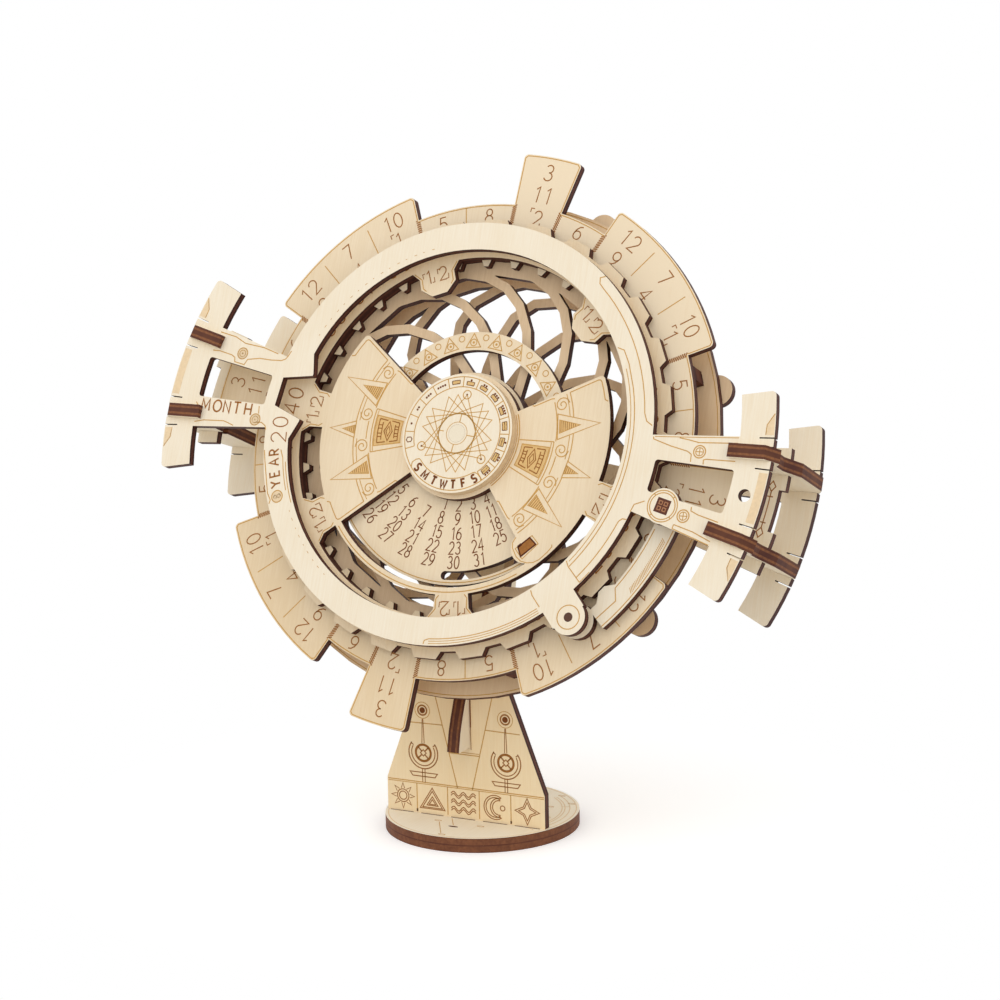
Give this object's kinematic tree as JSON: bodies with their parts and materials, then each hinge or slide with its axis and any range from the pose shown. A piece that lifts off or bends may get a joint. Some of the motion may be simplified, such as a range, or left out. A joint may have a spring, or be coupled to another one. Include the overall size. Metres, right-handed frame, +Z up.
{
  "type": "perpetual desk calendar",
  "caption": "Free-standing perpetual calendar: nested year and month dials turn in a tilted ring frame with two ribbed arms, on an upright stand with a round base.",
  "frame": {"origin": "middle of the flat underside of the round base, on the surface that it stands on", "axes": "+Z up, the dial faces -Y and leans back, +X to the right of a viewer who reads the dial"},
  "size_m": [0.2348, 0.0926, 0.2308],
  "materials": {
    "plywood": "sanded sheet with charred cut edges",
    "dowel": "sanded round stock"
  },
  "bodies": {
    "frame": {"arc_plate_mid_left": "plywood", "arc_plate_mid_right": "plywood", "base_disc_lower": "plywood", "base_disc_upper": "plywood", "click_arm": "plywood", "front_ring": "plywood", "lug_peg": "dowel", "lug_washer": "plywood", "rear_frame": "plywood", "rib_left_a": "plywood", "rib_left_b": "plywood", "rib_right_a": "plywood", "rib_right_b": "plywood", "square_peg": "plywood", "square_washer": "plywood", "stand_panel": "plywood", "stand_spine": "plywood"},
    "year_dial": {"axle": "dowel", "axle_collar": "plywood", "hub_disc": "plywood", "stop_pin": "plywood", "year_plate": "plywood"},
    "month_dial": {"back_plate": "plywood", "date_disk": "plywood", "front_lattice": "plywood", "grip_ring": "plywood", "month_ring": "plywood", "wheel_post_1": "plywood", "wheel_post_2": "plywood", "wheel_post_3": "plywood", "wheel_post_4": "plywood"}
  },
  "joints": [
    {"name": "year_dial_turn", "type": "hinge", "parent": "frame", "child": "year_dial", "pos_m": [0, -0.0158, 0.1414], "axis": [0, -0.9232, 0.3843], "continuous": true},
    {"name": "month_dial_turn", "type": "hinge", "parent": "year_dial", "child": "month_dial", "pos_m": [0, -0.0158, 0.1414], "axis": [0, -0.9232, 0.3843], "range_deg": [-38.57, 38.57]}
  ]
}
